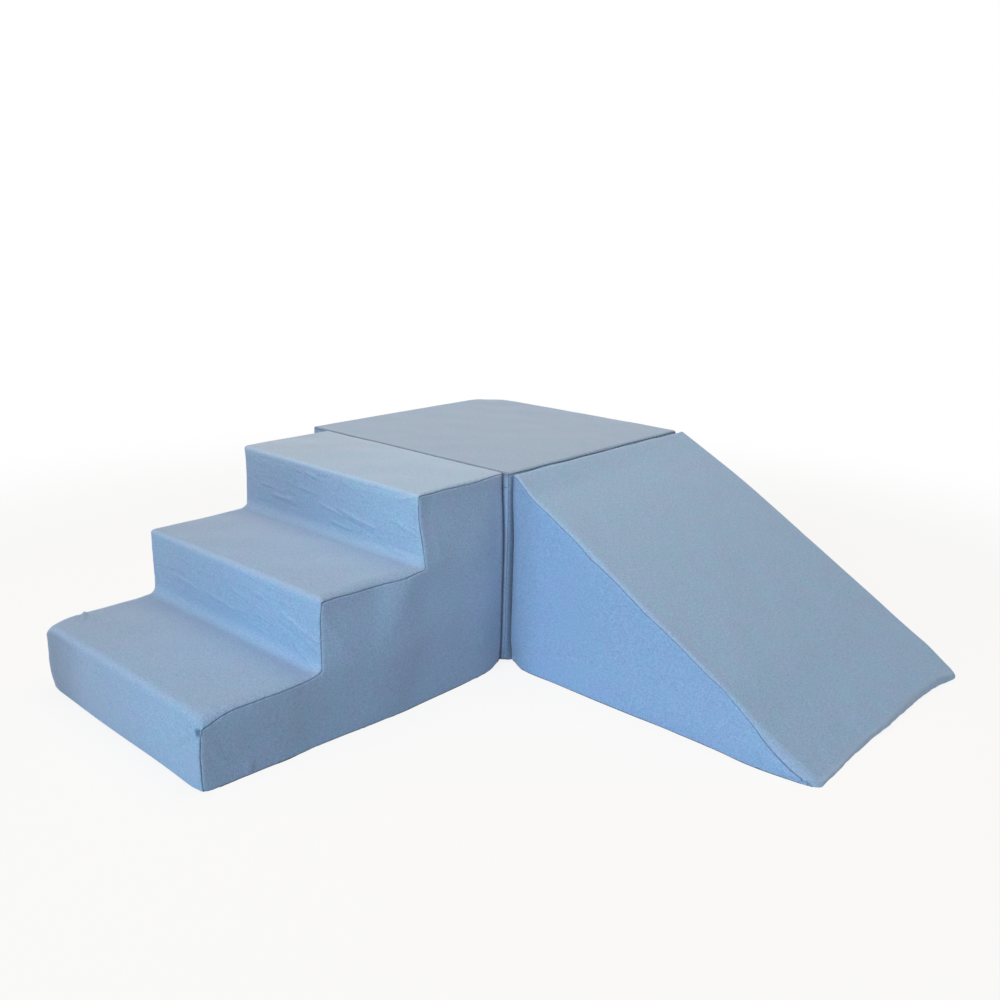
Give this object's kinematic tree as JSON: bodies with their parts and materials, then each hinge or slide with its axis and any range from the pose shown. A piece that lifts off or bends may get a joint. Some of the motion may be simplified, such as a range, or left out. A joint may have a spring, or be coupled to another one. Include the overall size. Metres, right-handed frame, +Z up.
{
  "type": "soft play foam climber",
  "caption": "Corner climber of foam blocks in zipped fabric covers: a stepped block and a ramp that pull away from a square platform.",
  "frame": {"origin": "on the floor, at the middle of the climber's bounding box", "axes": "+Z up; the steps go down towards -Y, the ramp goes down towards +X, and the platform is in the -X +Y corner"},
  "size_m": [1.277, 1.2935, 0.4029],
  "materials": {
    "cover_fabric": "matte",
    "base_fabric": "matte",
    "foam": "matte",
    "zip_tape": "matte",
    "zip_metal": "satin",
    "hook": "matte",
    "loop": "matte"
  },
  "bodies": {
    "platform": {"platform_foam_lower": "foam", "platform_foam_middle": "foam", "platform_foam_upper": "foam", "platform_top_cover": "cover_fabric", "platform_front_cover": "cover_fabric", "platform_back_cover": "cover_fabric", "platform_base_cover": "base_fabric", "platform_near_side_cover": "cover_fabric", "platform_far_side_cover": "cover_fabric", "platform_front_loop_strip_near": "loop", "platform_front_loop_strip_far": "loop", "platform_side_loop_strip_near": "loop", "platform_side_loop_strip_far": "loop", "platform_zip_tape_upper": "zip_tape", "platform_zip_tape_lower": "zip_tape"},
    "steps": {"steps_foam_lower": "foam", "steps_foam_middle": "foam", "steps_foam_upper": "foam", "steps_tread_cover": "cover_fabric", "steps_back_cover": "cover_fabric", "steps_base_cover": "base_fabric", "steps_near_side_cover": "cover_fabric", "steps_far_side_cover": "cover_fabric", "steps_hook_strip_near": "hook", "steps_hook_strip_far": "hook", "steps_zip_tape_upper": "zip_tape", "steps_zip_tape_lower": "zip_tape"},
    "ramp": {"ramp_foam": "foam", "ramp_slope_cover": "cover_fabric", "ramp_back_cover": "cover_fabric", "ramp_base_cover": "base_fabric", "ramp_near_side_cover": "cover_fabric", "ramp_far_side_cover": "cover_fabric", "ramp_hook_strip_near": "hook", "ramp_hook_strip_far": "hook", "ramp_zip_tape_upper": "zip_tape", "ramp_zip_tape_lower": "zip_tape"},
    "platform_slider": {"platform_zip_slider": "zip_metal"},
    "platform_pull": {"platform_zip_pull": "zip_metal"},
    "steps_slider": {"steps_zip_slider": "zip_metal"},
    "steps_pull": {"steps_zip_pull": "zip_metal"},
    "ramp_slider": {"ramp_zip_slider": "zip_metal"},
    "ramp_pull": {"ramp_zip_pull": "zip_metal"}
  },
  "joints": [
    {"name": "steps_pull_away", "type": "slide", "parent": "platform", "child": "steps", "axis": [0, -1, 0], "range_m": [0, 0.3]},
    {"name": "ramp_pull_away", "type": "slide", "parent": "platform", "child": "ramp", "axis": [1, 0, 0], "range_m": [0, 0.3]},
    {"name": "platform_zip_travel", "type": "slide", "parent": "platform", "child": "platform_slider", "axis": [0, -1, 0], "range_m": [0, 0.452]},
    {"name": "platform_pull_swing", "type": "hinge", "parent": "platform_slider", "child": "platform_pull", "pos_m": [-0.6396, 0.56435, 0.0228], "axis": [0, 0, -1], "range_deg": [0, 175]},
    {"name": "steps_zip_travel", "type": "slide", "parent": "steps", "child": "steps_slider", "axis": [0, -1, 0], "range_m": [0, 0.527]},
    {"name": "steps_pull_swing", "type": "hinge", "parent": "steps_slider", "child": "steps_pull", "pos_m": [-0.5806, -0.04135, 0.0228], "axis": [0, 0, -1], "range_deg": [0, 175]},
    {"name": "ramp_zip_travel", "type": "slide", "parent": "ramp", "child": "ramp_slider", "axis": [1, 0, 0], "range_m": [0, 0.427]},
    {"name": "ramp_pull_swing", "type": "hinge", "parent": "ramp_slider", "child": "ramp_pull", "pos_m": [0.04435, 0.6466, 0.0228], "axis": [0, 0, 1], "range_deg": [0, 175]}
  ]
}
